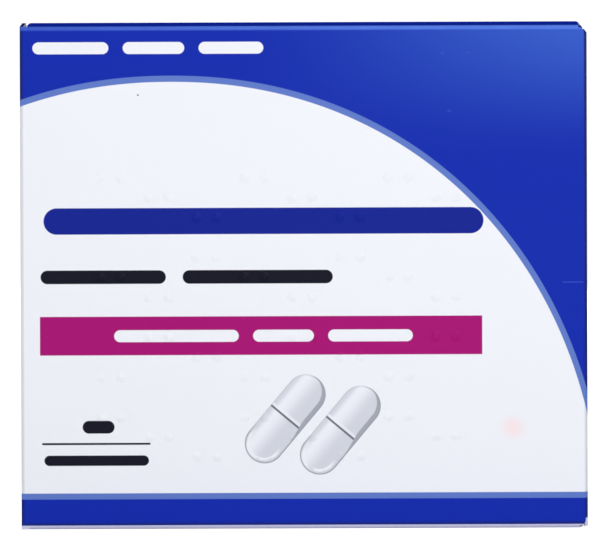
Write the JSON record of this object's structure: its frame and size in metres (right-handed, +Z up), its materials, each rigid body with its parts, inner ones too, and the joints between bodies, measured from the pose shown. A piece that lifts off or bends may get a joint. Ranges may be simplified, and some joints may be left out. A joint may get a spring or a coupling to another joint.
{
  "type": "box of painkiller tablets",
  "caption": "Upright tuck-end carton with raised reading dots and two hinged end lids, holding blister strips of scored capsule-shaped tablets and a folded leaflet.",
  "frame": {"origin": "middle of the carton's footprint, on the surface that it stands on", "axes": "+Z up, +X along the carton to the right of someone facing its main printed panel, which faces -Y"},
  "size_m": [0.071, 0.0202, 0.063],
  "materials": {
    "printed_board": "semi-gloss printed face, uncoated inside",
    "clear_film": "clear, glossy",
    "lidding_foil": "satin, fine knurl",
    "tablet": "smooth matt coating",
    "leaflet_paper": "thin matt paper"
  },
  "bodies": {
    "pack": {"carton": "printed_board", "leaflet": "leaflet_paper", "front_blister_tray": "clear_film", "front_blister_foil": "lidding_foil", "back_blister_tray": "clear_film", "back_blister_foil": "lidding_foil", "front_tablet_1_1": "tablet", "front_tablet_1_2": "tablet", "front_tablet_1_3": "tablet", "front_tablet_1_4": "tablet", "front_tablet_2_1": "tablet", "front_tablet_2_2": "tablet", "front_tablet_2_3": "tablet", "front_tablet_2_4": "tablet", "back_tablet_1_1": "tablet", "back_tablet_1_2": "tablet", "back_tablet_1_3": "tablet", "back_tablet_1_4": "tablet", "back_tablet_2_1": "tablet", "back_tablet_2_2": "tablet", "back_tablet_2_3": "tablet", "back_tablet_2_4": "tablet"},
    "right_lid": {"right_lid": "printed_board"},
    "left_lid": {"left_lid": "printed_board"}
  },
  "joints": [
    {"name": "right_lid_hinge", "type": "hinge", "parent": "pack", "child": "right_lid", "pos_m": [0.03528, 0.00978, 0.0315], "axis": [0, 0, 1], "range_deg": [0, 180]},
    {"name": "left_lid_hinge", "type": "hinge", "parent": "pack", "child": "left_lid", "pos_m": [-0.03528, -0.00978, 0.0315], "axis": [0, 0, 1], "range_deg": [0, 180]}
  ]
}
